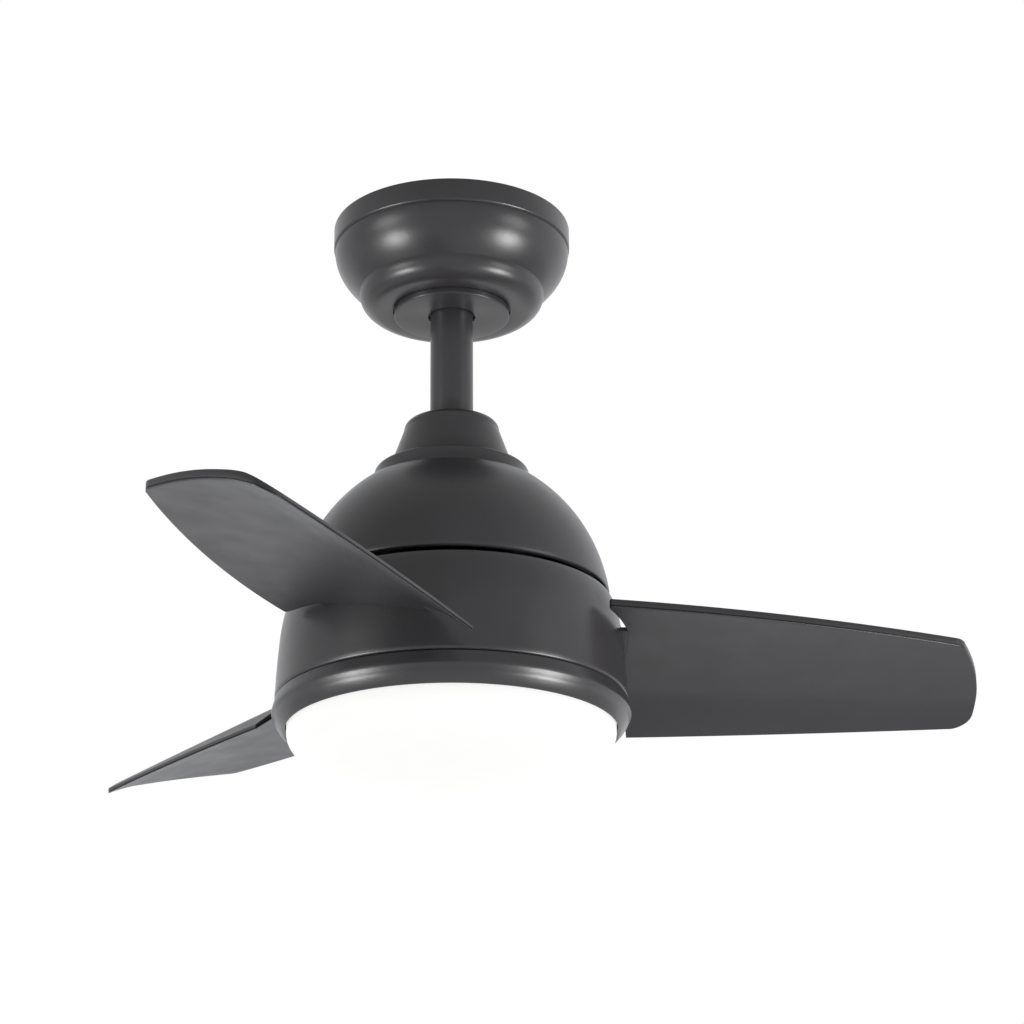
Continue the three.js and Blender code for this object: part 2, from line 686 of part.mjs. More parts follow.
const tongueTop = (s) => rootUnderside(s) + TONGUE_RAISE + TONGUE.thick;

for (let index = 0; index < BLADES; index++) {
  const tongueOutline = rootStrip(TONGUE.from, TONGUE.to, TONGUE_RAISE, TONGUE_RAISE + TONGUE.thick);
  const tongue = alongBlade(tongueOutline, TONGUE.inner, 112, index);
  const holes = SCREW_S.map((s) => {
    const [x, y] = bladePoint(index, SCREW_R, s);
    return cylinder(2.4, [x, y, -290], [x, y, -240], 10);
  });
  add(`blade_${index + 1}`, cut(join(bladePanel(index), tongue), ...holes), bladePlastic);
  SCREW_S.forEach((s, i) => {
    const [x, y] = bladePoint(index, SCREW_R, s);
    const seat = tongueTop(s) + 1.4;
    add(`blade_${index + 1}_screw_${i + 1}`, panScrew(x, y, seat, seat + 2.6, seat - 9, 2, 4.2), steel);
  });
}

// The carrier hangs under the rotor, with a sloped pad for each blade's tongue.
function bladeCarrier() {
  const { wall, flange, flangeTop, plate } = CARRIER;
  const top = ROTOR.bottom - GAP;
  let body = turned([
    [22, top - plate],
    [wall - plate, top - plate],
    [wall - plate, flangeTop - plate],
    [flange, flangeTop - plate],
    [flange, flangeTop],
    [wall, flangeTop],
    [wall, top],
    [22, top],
  ]);
  for (let index = 0; index < BLADES; index++) {
    const [from, to] = [TONGUE.from + 4, TONGUE.to - 4];
    const pad = [[from, flangeTop - 1], [to, flangeTop - 1], ...rootLine(to, from, TONGUE_RAISE - GAP)];
    body = join(body, alongBlade(pad, TONGUE.inner + 3, 84, index));
  }
  const holes = [];
  for (let index = 0; index < BLADES; index++) {
    for (const s of SCREW_S) {
      const [x, y] = bladePoint(index, SCREW_R, s);
      holes.push(cylinder(2 + GAP, [x, y, -290], [x, y, -240], 10));
    }
    const [x, y] = bandScrewPlace(index);
    holes.push(cylinder(2, [x, y, -290], [x, y, -270], 10));
  }
  return cut(body, ...holes, ...boltHoles(2.3));
}
add("blade_carrier", bladeCarrier(), zinc);
carrierBolt.forEach(([x, y], i) => {
  const seat = ROTOR.bottom - GAP - CARRIER.plate - GAP;
  add(`carrier_screw_${i + 1}`, panScrew(x, y, seat - 2.6, seat, ROTOR.bottom + 2.4, 1.7, 4), steel);
});

// The turning band round the blades' roots, with a shelf that screws to the carrier.
function lowerBand() {
  const { top, bottom } = BAND;
  const skin = [
    [90.6, top],
    [92.4, top - 4],
    [94.3, top - 10],
    [96, top - 19],
    [97.2, top - 31],
    [98.2, top - 44],
    [98.9, bottom + 3],
    [98.6, bottom],
  ];
  let body = join(sheet(skin, SHEET), ring(SHELF.inner, 97, SHELF.z - 1.8, SHELF.z));
  const holes = [];
  for (let index = 0; index < BLADES; index++) {
    const low = TONGUE_RAISE - 0.8;
    const slot = rootStrip(TONGUE.from - 1.2, TONGUE.to + 1.2, low, low + TONGUE.thick + 1.6);
    holes.push(alongBlade(slot, 60, 130, index));
    const [x, y] = bandScrewPlace(index);
    holes.push(cylinder(2.2, [x, y, -290], [x, y, -270], 10));
  }
  return cut(body, ...holes);
}
add("lower_housing", lowerBand(), charcoal);
for (let index = 0; index < BLADES; index++) {
  const [x, y] = bandScrewPlace(index);
  const seat = SHELF.z - 1.8 - GAP;
  const screw = panScrew(x, y, seat - 2.2, seat, CARRIER.flangeTop - 0.5, 1.6, 3.6);
  add(`housing_screw_${index + 1}`, screw, steel);
}

// ---------- light ----------
const TRIM_SCREW_RADIUS = 88;
const trimScrewAngle = [30, 150, 270];
function lightPlate() {
  const { z, radius, sheet: thick } = LIGHT_PLATE;
  const plate = ring(SHAFT.radius + GAP, radius, z - thick, z);
  const holes = trimScrewAngle.map((degrees) => {
    const [x, y] = polar(TRIM_SCREW_RADIUS, degrees);
    return cylinder(1.9, [x, y, z - 5], [x, y, z + 5], 10);
  });
  return cut(plate, ...holes);
}
add("light_plate", lightPlate(), whitePlastic);
add("light_nut", hexNut(SHAFT.bottom + 0.4, LIGHT_PLATE.z - LIGHT_PLATE.sheet - GAP, 22), zinc);
function ledDriver() {
  const { inner, outer, halfWidth, top } = DRIVER;
  return box([inner, -halfWidth, LIGHT_PLATE.z + GAP], [outer, halfWidth, top]);
}
add("led_driver", ledDriver(), whitePlastic);

// The trim ring's skin rolls under to a lip, and the diffuser's lugs turn in the groove above that lip.
const LUG = { places: [0, 120, 240], angle: 16, radius: 94.2, low: -307, high: -305 };
const LIP = { radius: 93, high: -307.4 };
const TWIST = 22; // degrees of turn that free the diffuser
function trimRing() {
  const { lip, top, bottom, radius } = TRIM;
  const body = turned([
    [84, top - 1.3],
    [96.4, top - 1.3],
    [96.4, LIP.high],
    [LIP.radius, LIP.high],
    [LIP.radius, bottom],
    [95.2, bottom],
    [97.3, bottom + 1.6],
    [99.1, bottom + 3.8],
    [100.2, bottom + 6.3],
    [radius, bottom + 9],
    [100.1, bottom + 12.2],
    [99.2, bottom + 14.8],
    [98.3, lip],
    [97, lip],
    [96.6, top],
    [84, top],
  ]);
  const cuts = trimScrewAngle.map((degrees) => {
    const [x, y] = polar(TRIM_SCREW_RADIUS, degrees);
    return cylinder(1.9, [x, y, top - 6], [x, y, top + 5], 10);
  });
  const notch = LUG.angle + 3;
  for (const lug of LUG.places) {
    cuts.push(wedge(notch, lug + TWIST, 90, LUG.radius + 0.8, bottom - 1, LIP.high + 1));
  }
  return cut(body, ...cuts);
}

add("trim_ring", trimRing(), charcoal);
trimScrewAngle.forEach((degrees, i) => {
  const [x, y] = polar(TRIM_SCREW_RADIUS, degrees);
  const seat = LIGHT_PLATE.z - LIGHT_PLATE.sheet - GAP;
  add(`trim_screw_${i + 1}`, panScrew(x, y, seat - 2.2, seat, TRIM.top - 0.2, 1.5, 3.2), steel);
});

function ledBoard() {
  const { top, radius, hole, thick } = LED_BOARD;
  let board = ring(hole, radius, top - thick, top);
  const half = 2.5;
  for (const row of LEDS) {
    for (let i = 0; i < row.count; i++) {
      const [x, y] = polar(row.radius, ((i + 0.5) * 360) / row.count);
      board = join(board, box([x - half, y - half, top - thick - 1], [x + half, y + half, top - thick / 2]));
    }
  }
  const posts = [0, 120, 240].map((degrees) => {
    const [x, y] = polar(48, degrees);
    return cylinder(3, [x, y, top - thick / 2], [x, y, LIGHT_PLATE.z - LIGHT_PLATE.sheet - GAP], 10);
  });
  return join(board, ...posts);
}
add("led_board", ledBoard(), boardWhite);

// A shallow bowl under a short skirt with three lugs.
function diffuser() {
  const { radius, depth, roundness, wall } = DIFFUSER;
  const rim = TRIM.bottom;
  const skirtTop = -304.6;
  const bowl = (size, deep, steps) =>
    Array.from({ length: steps + 1 }, (_, i) => {
      const angle = (Math.PI / 2) * (i / steps);
      const power = 2 / roundness;
      return [size * Math.cos(angle) ** power, rim - deep * Math.sin(angle) ** power];
    });
  const outside = bowl(radius, depth, 7);
  const inside = bowl(radius - wall, depth - wall, 5);
  outside[outside.length - 1][0] = 0;
  inside[inside.length - 1][0] = 0;
  const body = turned([
    ...outside.reverse(),
    [radius, skirtTop],
    [radius - wall, skirtTop],
    ...inside,
  ]);
  const lugs = LUG.places.map((place) => wedge(LUG.angle, place, radius - 1, LUG.radius, LUG.low, LUG.high));
  return join(body, ...lugs);
}
add("diffuser", diffuser(), opal);

export default fan;
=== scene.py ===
"""Looks of the ceiling fan with light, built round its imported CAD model, in metres."""

import json
import math

import bmesh
import bpy
from mathutils import Matrix, Vector


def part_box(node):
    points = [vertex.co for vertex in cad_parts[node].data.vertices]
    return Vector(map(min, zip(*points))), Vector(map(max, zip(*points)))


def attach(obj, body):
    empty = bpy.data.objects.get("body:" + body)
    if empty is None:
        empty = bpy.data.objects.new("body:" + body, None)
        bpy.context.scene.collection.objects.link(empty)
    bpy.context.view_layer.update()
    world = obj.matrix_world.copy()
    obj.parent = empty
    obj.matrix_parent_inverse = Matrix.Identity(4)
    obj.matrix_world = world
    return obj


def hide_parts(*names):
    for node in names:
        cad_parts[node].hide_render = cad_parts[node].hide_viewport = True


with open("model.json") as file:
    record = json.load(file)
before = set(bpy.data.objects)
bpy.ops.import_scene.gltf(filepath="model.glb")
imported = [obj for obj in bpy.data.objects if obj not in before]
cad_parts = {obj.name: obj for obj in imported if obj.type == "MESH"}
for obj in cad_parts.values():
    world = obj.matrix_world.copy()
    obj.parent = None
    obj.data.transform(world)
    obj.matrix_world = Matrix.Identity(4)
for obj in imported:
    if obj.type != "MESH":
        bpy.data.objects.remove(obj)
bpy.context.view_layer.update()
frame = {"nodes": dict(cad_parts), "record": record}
MM = 0.001
ROUND = 192  # facets of a turned piece


# ---------- camera ----------
def make_camera():
    """Below the fan and straight in front of it, looking up."""
    data = bpy.data.cameras.new("camera")
    data.sensor_width = 36
    data.lens = 103.1
    camera = bpy.data.objects.new("camera", data)
    bpy.context.scene.collection.objects.link(camera)
    pitch, yaw, roll = 0.36595, 0.02203, -0.0076
    forward = Vector((math.sin(yaw) * math.cos(pitch), math.cos(yaw) * math.cos(pitch), math.sin(pitch)))
    right = Vector((math.cos(yaw), -math.sin(yaw), 0))
    up = right.cross(forward)
    turned_right = right * math.cos(roll) + up * math.sin(roll)
    turned_up = up * math.cos(roll) - right * math.sin(roll)
    axes = Matrix((turned_right, turned_up, -forward)).transposed().to_4x4()
    camera.matrix_world = Matrix.Translation((0, -1.5704, -0.7808)) @ axes
    bpy.context.scene.camera = camera


# ---------- light and floor ----------
def make_world():
    """Pale light all round, brightest level with the object and behind it, and plain white in view."""
    world = bpy.data.worlds.new("studio")
    bpy.context.scene.world = world
    world.use_nodes = True
    nodes, links = world.node_tree.nodes, world.node_tree.links
    nodes.clear()
    out = nodes.new("ShaderNodeOutputWorld")
    mix = nodes.new("ShaderNodeMixShader")
    path = nodes.new("ShaderNodeLightPath")
    even = nodes.new("ShaderNodeBackground")
    white = nodes.new("ShaderNodeBackground")
    even.inputs["Color"].default_value = (0.97, 0.985, 1.0, 1)
    turn = nodes.new("ShaderNodeTexCoord").outputs["Generated"]
    product = nodes.new("ShaderNodeMath")
    product.operation = "MULTIPLY"
    # Towards the back and a little to the right it is brighter, and overhead it is dimmer.
    changes = [((0.3, 0.95, 0), (-0.3, 1.0, 0.62, 1.2)), ((0, 0, 1), (0.1, 0.7, 1.0, 0.8))]
    for i, (axis, spread) in enumerate(changes):
        along = nodes.new("ShaderNodeVectorMath")
        along.operation = "DOT_PRODUCT"
        along.inputs[1].default_value = axis
        links.new(turn, along.inputs[0])
        step = nodes.new("ShaderNodeMapRange")
        step.interpolation_type = "SMOOTHSTEP"
        for key, value in zip(("From Min", "From Max", "To Min", "To Max"), spread):
            step.inputs[key].default_value = value
        links.new(along.outputs["Value"], step.inputs["Value"])
        links.new(step.outputs["Result"], product.inputs[i])
    links.new(product.outputs[0], even.inputs["Strength"])
    white.inputs["Color"].default_value = (1, 1, 1, 1)
    white.inputs["Strength"].default_value = 1.0
    links.new(path.outputs["Is Camera Ray"], mix.inputs["Fac"])
    links.new(even.outputs[0], mix.inputs[1])
    links.new(white.outputs[0], mix.inputs[2])
    links.new(mix.outputs[0], out.inputs["Surface"])


def soft_light(name, direction, distance, size, power, target=(0, 0, -0.17)):
    """A round soft light that faces its target and is not in view itself."""
    data = bpy.data.lights.new(name, "AREA")
    data.shape = "DISK"
    data.size = size
    data.energy = power
    light = bpy.data.objects.new(name, data)
    bpy.context.scene.collection.objects.link(light)
    place = Vector(target) + Vector(direction).normalized() * distance
    light.location = place
    light.rotation_mode = "QUATERNION"
    light.rotation_quaternion = (place - Vector(target)).to_track_quat("Z", "Y")
    light.visible_camera = False


def make_floor():
    """A pale floor, a room's height below the ceiling."""
    mesh = bpy.data.meshes.new("floor")
    half = 6
    corners = [(-half, -half, 0), (half, -half, 0), (half, half, 0), (-half, half, 0)]
    mesh.from_pydata(corners, [], [(0, 1, 2, 3)])
    floor = bpy.data.objects.new("floor", mesh)
    bpy.context.scene.collection.objects.link(floor)
    floor.location = (0, 0, -2.4)
    paint = bpy.data.materials.new("floor_paint")
    paint.use_nodes = True
    shader = paint.node_tree.nodes["Principled BSDF"]
    shader.inputs["Base Color"].default_value = (0.78, 0.78, 0.78, 1)
    shader.inputs["Roughness"].default_value = 0.9
    mesh.materials.append(paint)


# ---------- materials ----------
class Paint:
    """A material under construction: its principled shader and small helpers for noise, colour and bump."""

    def __init__(self, name):
        self.material = bpy.data.materials.new(name)
        self.material.use_nodes = True
        self.nodes = self.material.node_tree.nodes
        self.links = self.material.node_tree.links
        self.shader = self.nodes["Principled BSDF"]
        self.place = self.nodes.new("ShaderNodeTexCoord").outputs["Object"]

    def set(self, **values):
        for key, value in values.items():
            self.shader.inputs[key.replace("_", " ")].default_value = value
        return self

    def noise(self, per_metre, detail=3.0, stretch=(1, 1, 1)):
        at = self.nodes.new("ShaderNodeMapping")
        at.inputs["Scale"].default_value = [per_metre * s for s in stretch]
        self.links.new(self.place, at.inputs["Vector"])
        noise = self.nodes.new("ShaderNodeTexNoise")
        noise.inputs["Scale"].default_value = 1.0
        noise.inputs["Detail"].default_value = detail
        self.links.new(at.outputs[0], noise.inputs["Vector"])
        return noise.outputs["Fac"]

    def cells(self, per_metre, feature="F1", stretch=(1, 1, 1)):
        at = self.nodes.new("ShaderNodeMapping")
        at.inputs["Scale"].default_value = [per_metre * s for s in stretch]
        self.links.new(self.place, at.inputs["Vector"])
        cells = self.nodes.new("ShaderNodeTexVoronoi")
        cells.feature = feature
        cells.inputs["Scale"].default_value = 1.0
        self.links.new(at.outputs[0], cells.inputs["Vector"])
        return cells

    def ramp(self, value, stops):
        ramp = self.nodes.new("ShaderNodeValToRGB")
        elements = ramp.color_ramp.elements
        while len(elements) < len(stops):
            elements.new(0.5)
        for element, (position, colour) in zip(elements, stops):
            element.position = position
            element.color = (*colour, 1) if len(colour) == 3 else colour
        self.links.new(value, ramp.inputs["Fac"])
        return ramp.outputs["Color"]

    def span(self, value, low, high, start=0.3, end=0.7):
        span = self.nodes.new("ShaderNodeMapRange")
        span.inputs["From Min"].default_value = start
        span.inputs["From Max"].default_value = end
        span.inputs["To Min"].default_value = low
        span.inputs["To Max"].default_value = high
        self.links.new(value, span.inputs["Value"])
        return span.outputs["Result"]

    def mix(self, a, b, share, blend="MIX"):
        mix = self.nodes.new("ShaderNodeMix")
        mix.data_type = "RGBA"
        mix.blend_type = blend
        for socket, value in ((mix.inputs[0], share), (mix.inputs[6], a), (mix.inputs[7], b)):
            if isinstance(value, bpy.types.NodeSocket):
                self.links.new(value, socket)
            else:
                socket.default_value = value if isinstance(value, (int, float)) else (*value, 1)
        return mix.outputs[2]

    def into(self, output, socket):
        self.links.new(output, self.shader.inputs[socket])
        return self

    def bump(self, *layers):
        """Each layer is (height, depth in metres)."""
        normal = None
        for height, depth in layers:
            bump = self.nodes.new("ShaderNodeBump")
            bump.inputs["Strength"].default_value = 1.0
            bump.inputs["Distance"].default_value = depth
            self.links.new(height, bump.inputs["Height"])
            if normal is not None:
                self.links.new(normal, bump.inputs["Normal"])
            normal = bump.outputs["Normal"]
        self.links.new(normal, self.shader.inputs["Normal"])
        return self


def scaled(colour, factor):
    return tuple(min(1.0, c * factor) for c in colour)


def charcoal_paint():
    """Satin powder coat: fine orange peel, faint metallic grain, slightly uneven sheen."""
    p = Paint("charcoal_paint")
    base = (0.026, 0.0242, 0.026)
    drift = p.span(p.noise(18, 2), 0.0, 1.0)
    flecks = [(0.0, (0.35, 0.35, 0.35)), (0.58, (0.45, 0.45, 0.45)), (0.72, (1, 1, 1))]
    grain = p.ramp(p.noise(5200, 1), flecks)
    coat = p.mix(scaled(base, 0.9), scaled(base, 1.12), drift)
    p.into(p.mix(coat, scaled(base, 2.2), p.span(grain, 0.0, 0.35, 0.4, 1.0)), "Base Color")
    p.into(p.span(p.noise(60, 4), 0.29, 0.34), "Roughness")
    p.set(Metallic=0.0, IOR=1.5)
    p.bump((p.noise(1500, 2), 0.000018), (p.noise(260, 2), 0.00003))
    return p.material


def blade_plastic():
    """Moulded blade plastic: fine matte texture and very faint flow along the blade."""
    p = Paint("blade_plastic")
    base = (0.0202, 0.0195, 0.0216)
    drift = p.span(p.noise(9, 2), 0.0, 1.0)
    p.into(p.mix(scaled(base, 0.92), scaled(base, 1.1), drift), "Base Color")
    p.into(p.span(p.noise(45, 3), 0.38, 0.45), "Roughness")
    p.set(Metallic=0.0, IOR=1.48)
    p.bump((p.noise(2600, 2), 0.00002), (p.noise(14, 2), 0.00003))
    return p.material


def opal_diffuser():
    """Opal acrylic lit from inside, its glow dimmed towards the rim and towards the lowest point as painted
    shade.
    """
    p = Paint("opal_diffuser")
    low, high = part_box("diffuser")
    split = p.nodes.new("ShaderNodeSeparateXYZ")
    p.links.new(p.place, split.inputs[0])
    height = p.span(split.outputs["Z"], 0.0, 1.0, low.z, high.z)
    # Painted shade: the glow is turned down a little at the lowest point and more near the rim, where the
    # bowl meets the trim.
    glow_levels_with_painted_shade = [(0.0, 0.74), (0.3, 0.765), (0.75, 0.765), (0.97, 0.71)]  # brightness from the lowest point up
    glow_with_painted_shade = p.ramp(height, [(share, (level, level, level)) for share, level in glow_levels_with_painted_shade])
    haze = p.span(p.noise(70, 2), 0.99, 1.0)
    both = p.nodes.new("ShaderNodeMath")
    both.operation = "MULTIPLY"
    p.links.new(glow_with_painted_shade, both.inputs[0])
    p.links.new(haze, both.inputs[1])
    p.set(Roughness=0.5, IOR=1.4)
    p.shader.inputs["Specular IOR Level"].default_value = 0.15
    p.into(p.mix((0.15, 0.15, 0.148), (0.16, 0.16, 0.16), haze), "Base Color")
    p.shader.inputs["Emission Color"].default_value = (1.0, 0.995, 0.985, 1)
    p.links.new(both.outputs[0], p.shader.inputs["Emission Strength"])
    p.bump((p.noise(900, 2), 0.00001))
    return p.material


def plated(name, base, roughness, spangle=90.0):
    """Bright plating with soft spangle, fine scratches and a dull film in patches."""
    p = Paint(name)
    cells = p.cells(spangle)
    patch = p.mix(scaled(base, 0.86), scaled(base, 1.08), p.span(cells.outputs["Color"], 0.0, 1.0, 0.0, 1.0))
    film = p.span(p.noise(35, 4), 0.0, 0.5)
    p.into(p.mix(patch, scaled(base, 0.72), film), "Base Color")
    p.into(p.span(p.noise(140, 4), roughness - 0.07, roughness + 0.1), "Roughness")
    p.set(Metallic=1.0)
    p.bump((p.noise(700, 2, (1, 9, 1)), 0.000015))
    return p.material


def cast_metal():
    """Die-cast aluminium with a fine blasted skin."""
    p = Paint("die_cast_aluminium")
    p.into(p.mix((0.36, 0.37, 0.38), (0.46, 0.46, 0.47), p.span(p.noise(55, 4), 0.0, 1.0)), "Base Color")
    p.into(p.span(p.noise(300, 3), 0.42, 0.58), "Roughness")
    p.set(Metallic=1.0)
    p.bump((p.noise(1300, 3), 0.00006))
    return p.material


def motor_steel():
    """Stacked electrical steel: fine level layers and a blued film."""
    p = Paint("motor_steel")
    layers = p.noise(1, 1, (2, 2, 1900))
    p.into(p.mix((0.11, 0.115, 0.13), (0.24, 0.24, 0.25), p.span(layers, 0.0, 1.0)), "Base Color")
    p.into(p.span(p.noise(90, 3), 0.35, 0.5), "Roughness")
    p.set(Metallic=1.0)
    p.bump((layers, 0.00005))
    return p.material


def copper_winding():
    """Enamelled wire laid in rows round the coil."""
    p = Paint("copper_winding")
    rows = p.nodes.new("ShaderNodeTexWave")
    rows.wave_type = "RINGS"
    rows.rings_direction = "Z"
    rows.inputs["Scale"].default_value = 260
    rows.inputs["Distortion"].default_value = 0.6
    p.links.new(p.place, rows.inputs["Vector"])
    p.into(p.mix((0.30, 0.075, 0.02), (0.62, 0.23, 0.08), rows.outputs["Fac"]), "Base Color")
    p.into(p.span(p.noise(200, 2), 0.22, 0.36), "Roughness")
    p.set(Metallic=0.9)
    p.bump((rows.outputs["Fac"], 0.0002))
    return p.material


def ferrite():
    """Sintered magnet: near black, dull and slightly pitted."""
    p = Paint("ferrite_magnet")
    speckle = p.span(p.noise(240, 5), 0.0, 1.0)
    p.into(p.mix((0.022, 0.022, 0.024), (0.045, 0.044, 0.046), speckle), "Base Color")
    p.into(p.span(p.noise(420, 3), 0.55, 0.75), "Roughness")
    p.bump((p.noise(900, 4), 0.00008))
    return p.material


def circuit_board():
    """Solder mask with tracks under it."""
    p = Paint("circuit_board")
    tracks = p.cells(260, "DISTANCE_TO_EDGE").outputs["Distance"]
    over_track, over_board = (0.03, 0.17, 0.07), (0.012, 0.085, 0.035)
    p.into(p.ramp(tracks, [(0.0, over_track), (0.08, over_track), (0.1, over_board)]), "Base Color")
    p.into(p.span(p.noise(150, 2), 0.28, 0.4), "Roughness")
    p.bump((tracks, 0.00004))
    return p.material


def moulded(name, dark, light, roughness, depth=0.00003):
    """Plain moulded plastic with a fine texture."""
    p = Paint(name)
    p.into(p.mix(dark, light, p.span(p.noise(30, 3), 0.0, 1.0)), "Base Color")
    p.into(p.span(p.noise(120, 3), roughness - 0.05, roughness + 0.06), "Roughness")
    p.bump((p.noise(1400, 3), depth))
    return p.material


def braided_lead():
    """Woven sleeve round the leads."""
    p = Paint("lead_insulation")
    weave = p.cells(1400, "DISTANCE_TO_EDGE").outputs["Distance"]
    p.into(p.ramp(weave, [(0.0, (0.004, 0.004, 0.005)), (0.3, (0.02, 0.02, 0.023))]), "Base Color")
    p.into(p.span(p.noise(300, 2), 0.5, 0.65), "Roughness")
    p.bump((weave, 0.0001))
    return p.material


def make_materials():
    return {
        "charcoal_paint": charcoal_paint(),
        "blade_plastic": blade_plastic(),
        "opal_diffuser": opal_diffuser(),
        "zinc_plated_steel": plated("zinc_plated_steel", (0.48, 0.50, 0.53), 0.34),
        "fastener_steel": plated("fastener_steel", (0.40, 0.41, 0.43), 0.3, 240),
        "motor_steel": motor_steel(),
        "die_cast_aluminium": cast_metal(),
        "copper_winding": copper_winding(),
        "ferrite_magnet": ferrite(),
        "circuit_board": circuit_board(),
        "led_board_white": moulded("led_board_white", (0.78, 0.78, 0.76), (0.86, 0.86, 0.84), 0.4),
        "white_plastic": moulded("white_plastic", (0.66, 0.66, 0.63), (0.74, 0.74, 0.71), 0.42),
        "white_paint": moulded("white_paint", (0.72, 0.72, 0.71), (0.8, 0.8, 0.79), 0.38, 0.00005),
        "black_nylon": moulded("black_nylon", (0.012, 0.012, 0.013), (0.02, 0.02, 0.021), 0.5),
        "lead_insulation": braided_lead(),
    }


# ---------- shape helpers ----------
class Span:
    """Top, bottom and outer radius of a CAD node that is round about the fan's axis."""

    def __init__(self, node):
        low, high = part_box(node)
        self.top, self.bottom, self.radius = high.z, low.z, high.x


def fillet(corners, closed=True):
    """A smooth outline through corners of (radius, height, rounding in mm)."""
    count = len(corners)
    outline = []
    for i, (x, z, rounding) in enumerate(corners):
        here = Vector((x, z))
        inner = closed or 0 < i < count - 1
        if not rounding or not inner:
            outline.append(here)
            continue
        before = Vector(corners[i - 1][:2]) - here
        after = Vector(corners[(i + 1) % count][:2]) - here
        bend = before.angle(after)
        reach = min(rounding * MM / math.tan(bend / 2), before.length * 0.49, after.length * 0.49)
        start, end = here + before.normalized() * reach, here + after.normalized() * reach
        steps = 5
        for k in range(steps + 1):
            t = k / steps
            outline.append(start * (1 - t) ** 2 + here * 2 * t * (1 - t) + end * t * t)
    return [(p.x, p.y) for p in outline]


def ellipse(centre, radii, start, end, steps):
    """Points of (radius, height, 0) on an ellipse, angles in degrees from +radius towards +height."""
    points = []
    for i in range(steps + 1):
        angle = math.radians(start + (end - start) * i / steps)
        points.append((centre[0] + radii[0] * math.cos(angle), centre[1] + radii[1] * math.sin(angle), 0))
    return points


def inset(skin, wall):
    """The same skin moved inwards by the sheet's thickness, in reverse order."""
    moved = []
    for i, (x, z, _) in enumerate(skin):
        before, after = skin[max(i - 1, 0)], skin[min(i + 1, len(skin) - 1)]
        run = Vector((after[0] - before[0], after[1] - before[1])).normalized()
        if i in (0, len(skin) - 1) and abs(run.y) > 0.5:
            moved.append((x - wall / abs(run.y), z, 0))
        else:
            moved.append((x + run.y * wall, z - run.x * wall, 0))
    return moved[::-1]


def new_object(name, mesh, slot, body, *nodes):
    piece = bpy.data.objects.new(name, mesh)
    bpy.context.scene.collection.objects.link(piece)
    mesh.materials.append(materials[slot])
    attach(piece, body)
    if nodes:
        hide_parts(*nodes)
    return piece


def smooth(mesh, degrees=32):
    mesh.polygons.foreach_set("use_smooth", [True] * len(mesh.polygons))
    mesh.set_sharp_from_angle(angle=math.radians(degrees))
    mesh.update()


def lathe(name, outline, facets=ROUND):
    """A mesh from an outline of (radius, height) turned round the fan's axis. Open ends lie on the axis."""
    on_axis = outline[0][0] < 1e-7
    rows, verts = [], []
    for x, z in outline:
        if x < 1e-7:
            rows.append([len(verts)] * facets)
            verts.append((0, 0, z))
            continue
        rows.append(list(range(len(verts), len(verts) + facets)))
        for k in range(facets):
            angle = 2 * math.pi * k / facets
            verts.append((x * math.cos(angle), x * math.sin(angle), z))
    faces = []
    last = len(rows) - 1 if on_axis else len(rows)
    for i in range(last):
        a, b = rows[i], rows[(i + 1) % len(rows)]
        for k in range(facets):
            n = (k + 1) % facets
            corners = list(dict.fromkeys([a[k], a[n], b[n], b[k]]))
            if len(corners) > 2:
                faces.append(corners)
    mesh = bpy.data.meshes.new(name)
    mesh.from_pydata(verts, [], faces)
    outwards(mesh)
    smooth(mesh)
    return mesh


def outwards(mesh):
    work = bmesh.new()
    work.from_mesh(mesh)
    bmesh.ops.recalc_face_normals(work, faces=work.faces)
    work.to_mesh(mesh)
    work.free()


# ---------- turned pieces ----------
def make_canopy():
    c = Span("canopy")
    band = c.top - 13.4 * MM  # lower edge of the straight band
    bulge = (-74.3 * MM, band - 1.2 * MM)
    skin = [(c.radius - 0.8 * MM, c.top, 0), (c.radius - 0.2 * MM, c.top - 0.3 * MM, 0)]
    skin += [(c.radius, c.top - 1.0 * MM, 0), (c.radius, band + 0.5 * MM, 0)]
    skin += [(c.radius - 0.35 * MM, band - 0.05 * MM, 0), (c.radius - 1.15 * MM, band - 0.45 * MM, 0)]
    skin += ellipse(bulge, (143.3 * MM, 58 * MM), -0.7, -26.2, 30)
    foot = ellipse((42.5 * MM, c.top - 41.4 * MM), (11.8 * MM, 10.9 * MM), -2, -82, 22)
    skin += foot + [(41 * MM, c.bottom + 0.1 * MM, 0), (36.5 * MM, c.bottom, 0)]
    skin += [(34.6 * MM, c.bottom + 0.3 * MM, 0), (34.3 * MM, c.bottom + 1.6 * MM, 0)]
    skin += [(18.5 * MM, c.bottom + 1.7 * MM, 0)]
    outline = [(x, z) for x, z, _ in skin + inset(skin, 1.2 * MM)]
    new_object("canopy_shell", lathe("canopy_shell", outline), "charcoal_paint", "mount", "canopy")


def make_canopy_cover():
    d = Span("canopy_cover")
    hole, wall = 13.8 * MM, 1.6 * MM
    corners = [
        (hole, d.bottom, 0.35),
        (d.radius, d.bottom, 0.9),
        (d.radius, d.top, 0.3),
        (d.radius - wall, d.top, 0.2),
        (d.radius - wall, d.bottom + wall, 0.6),
        (hole, d.bottom + wall, 0.3),
    ]
    mesh = lathe("screw_cover_disc", fillet(corners))
    new_object("screw_cover_disc", mesh, "charcoal_paint", "mount", "canopy_cover")


def make_downrod():
    r = Span("downrod")
    bore = 11 * MM
    corners = [(bore, r.bottom, 0.3), (r.radius, r.bottom, 0.4), (r.radius, r.top, 0.4), (bore, r.top, 0.3)]
    mesh = lathe("downrod_tube", fillet(corners))
    new_object("downrod_tube", mesh, "charcoal_paint", "fan_frame", "downrod")


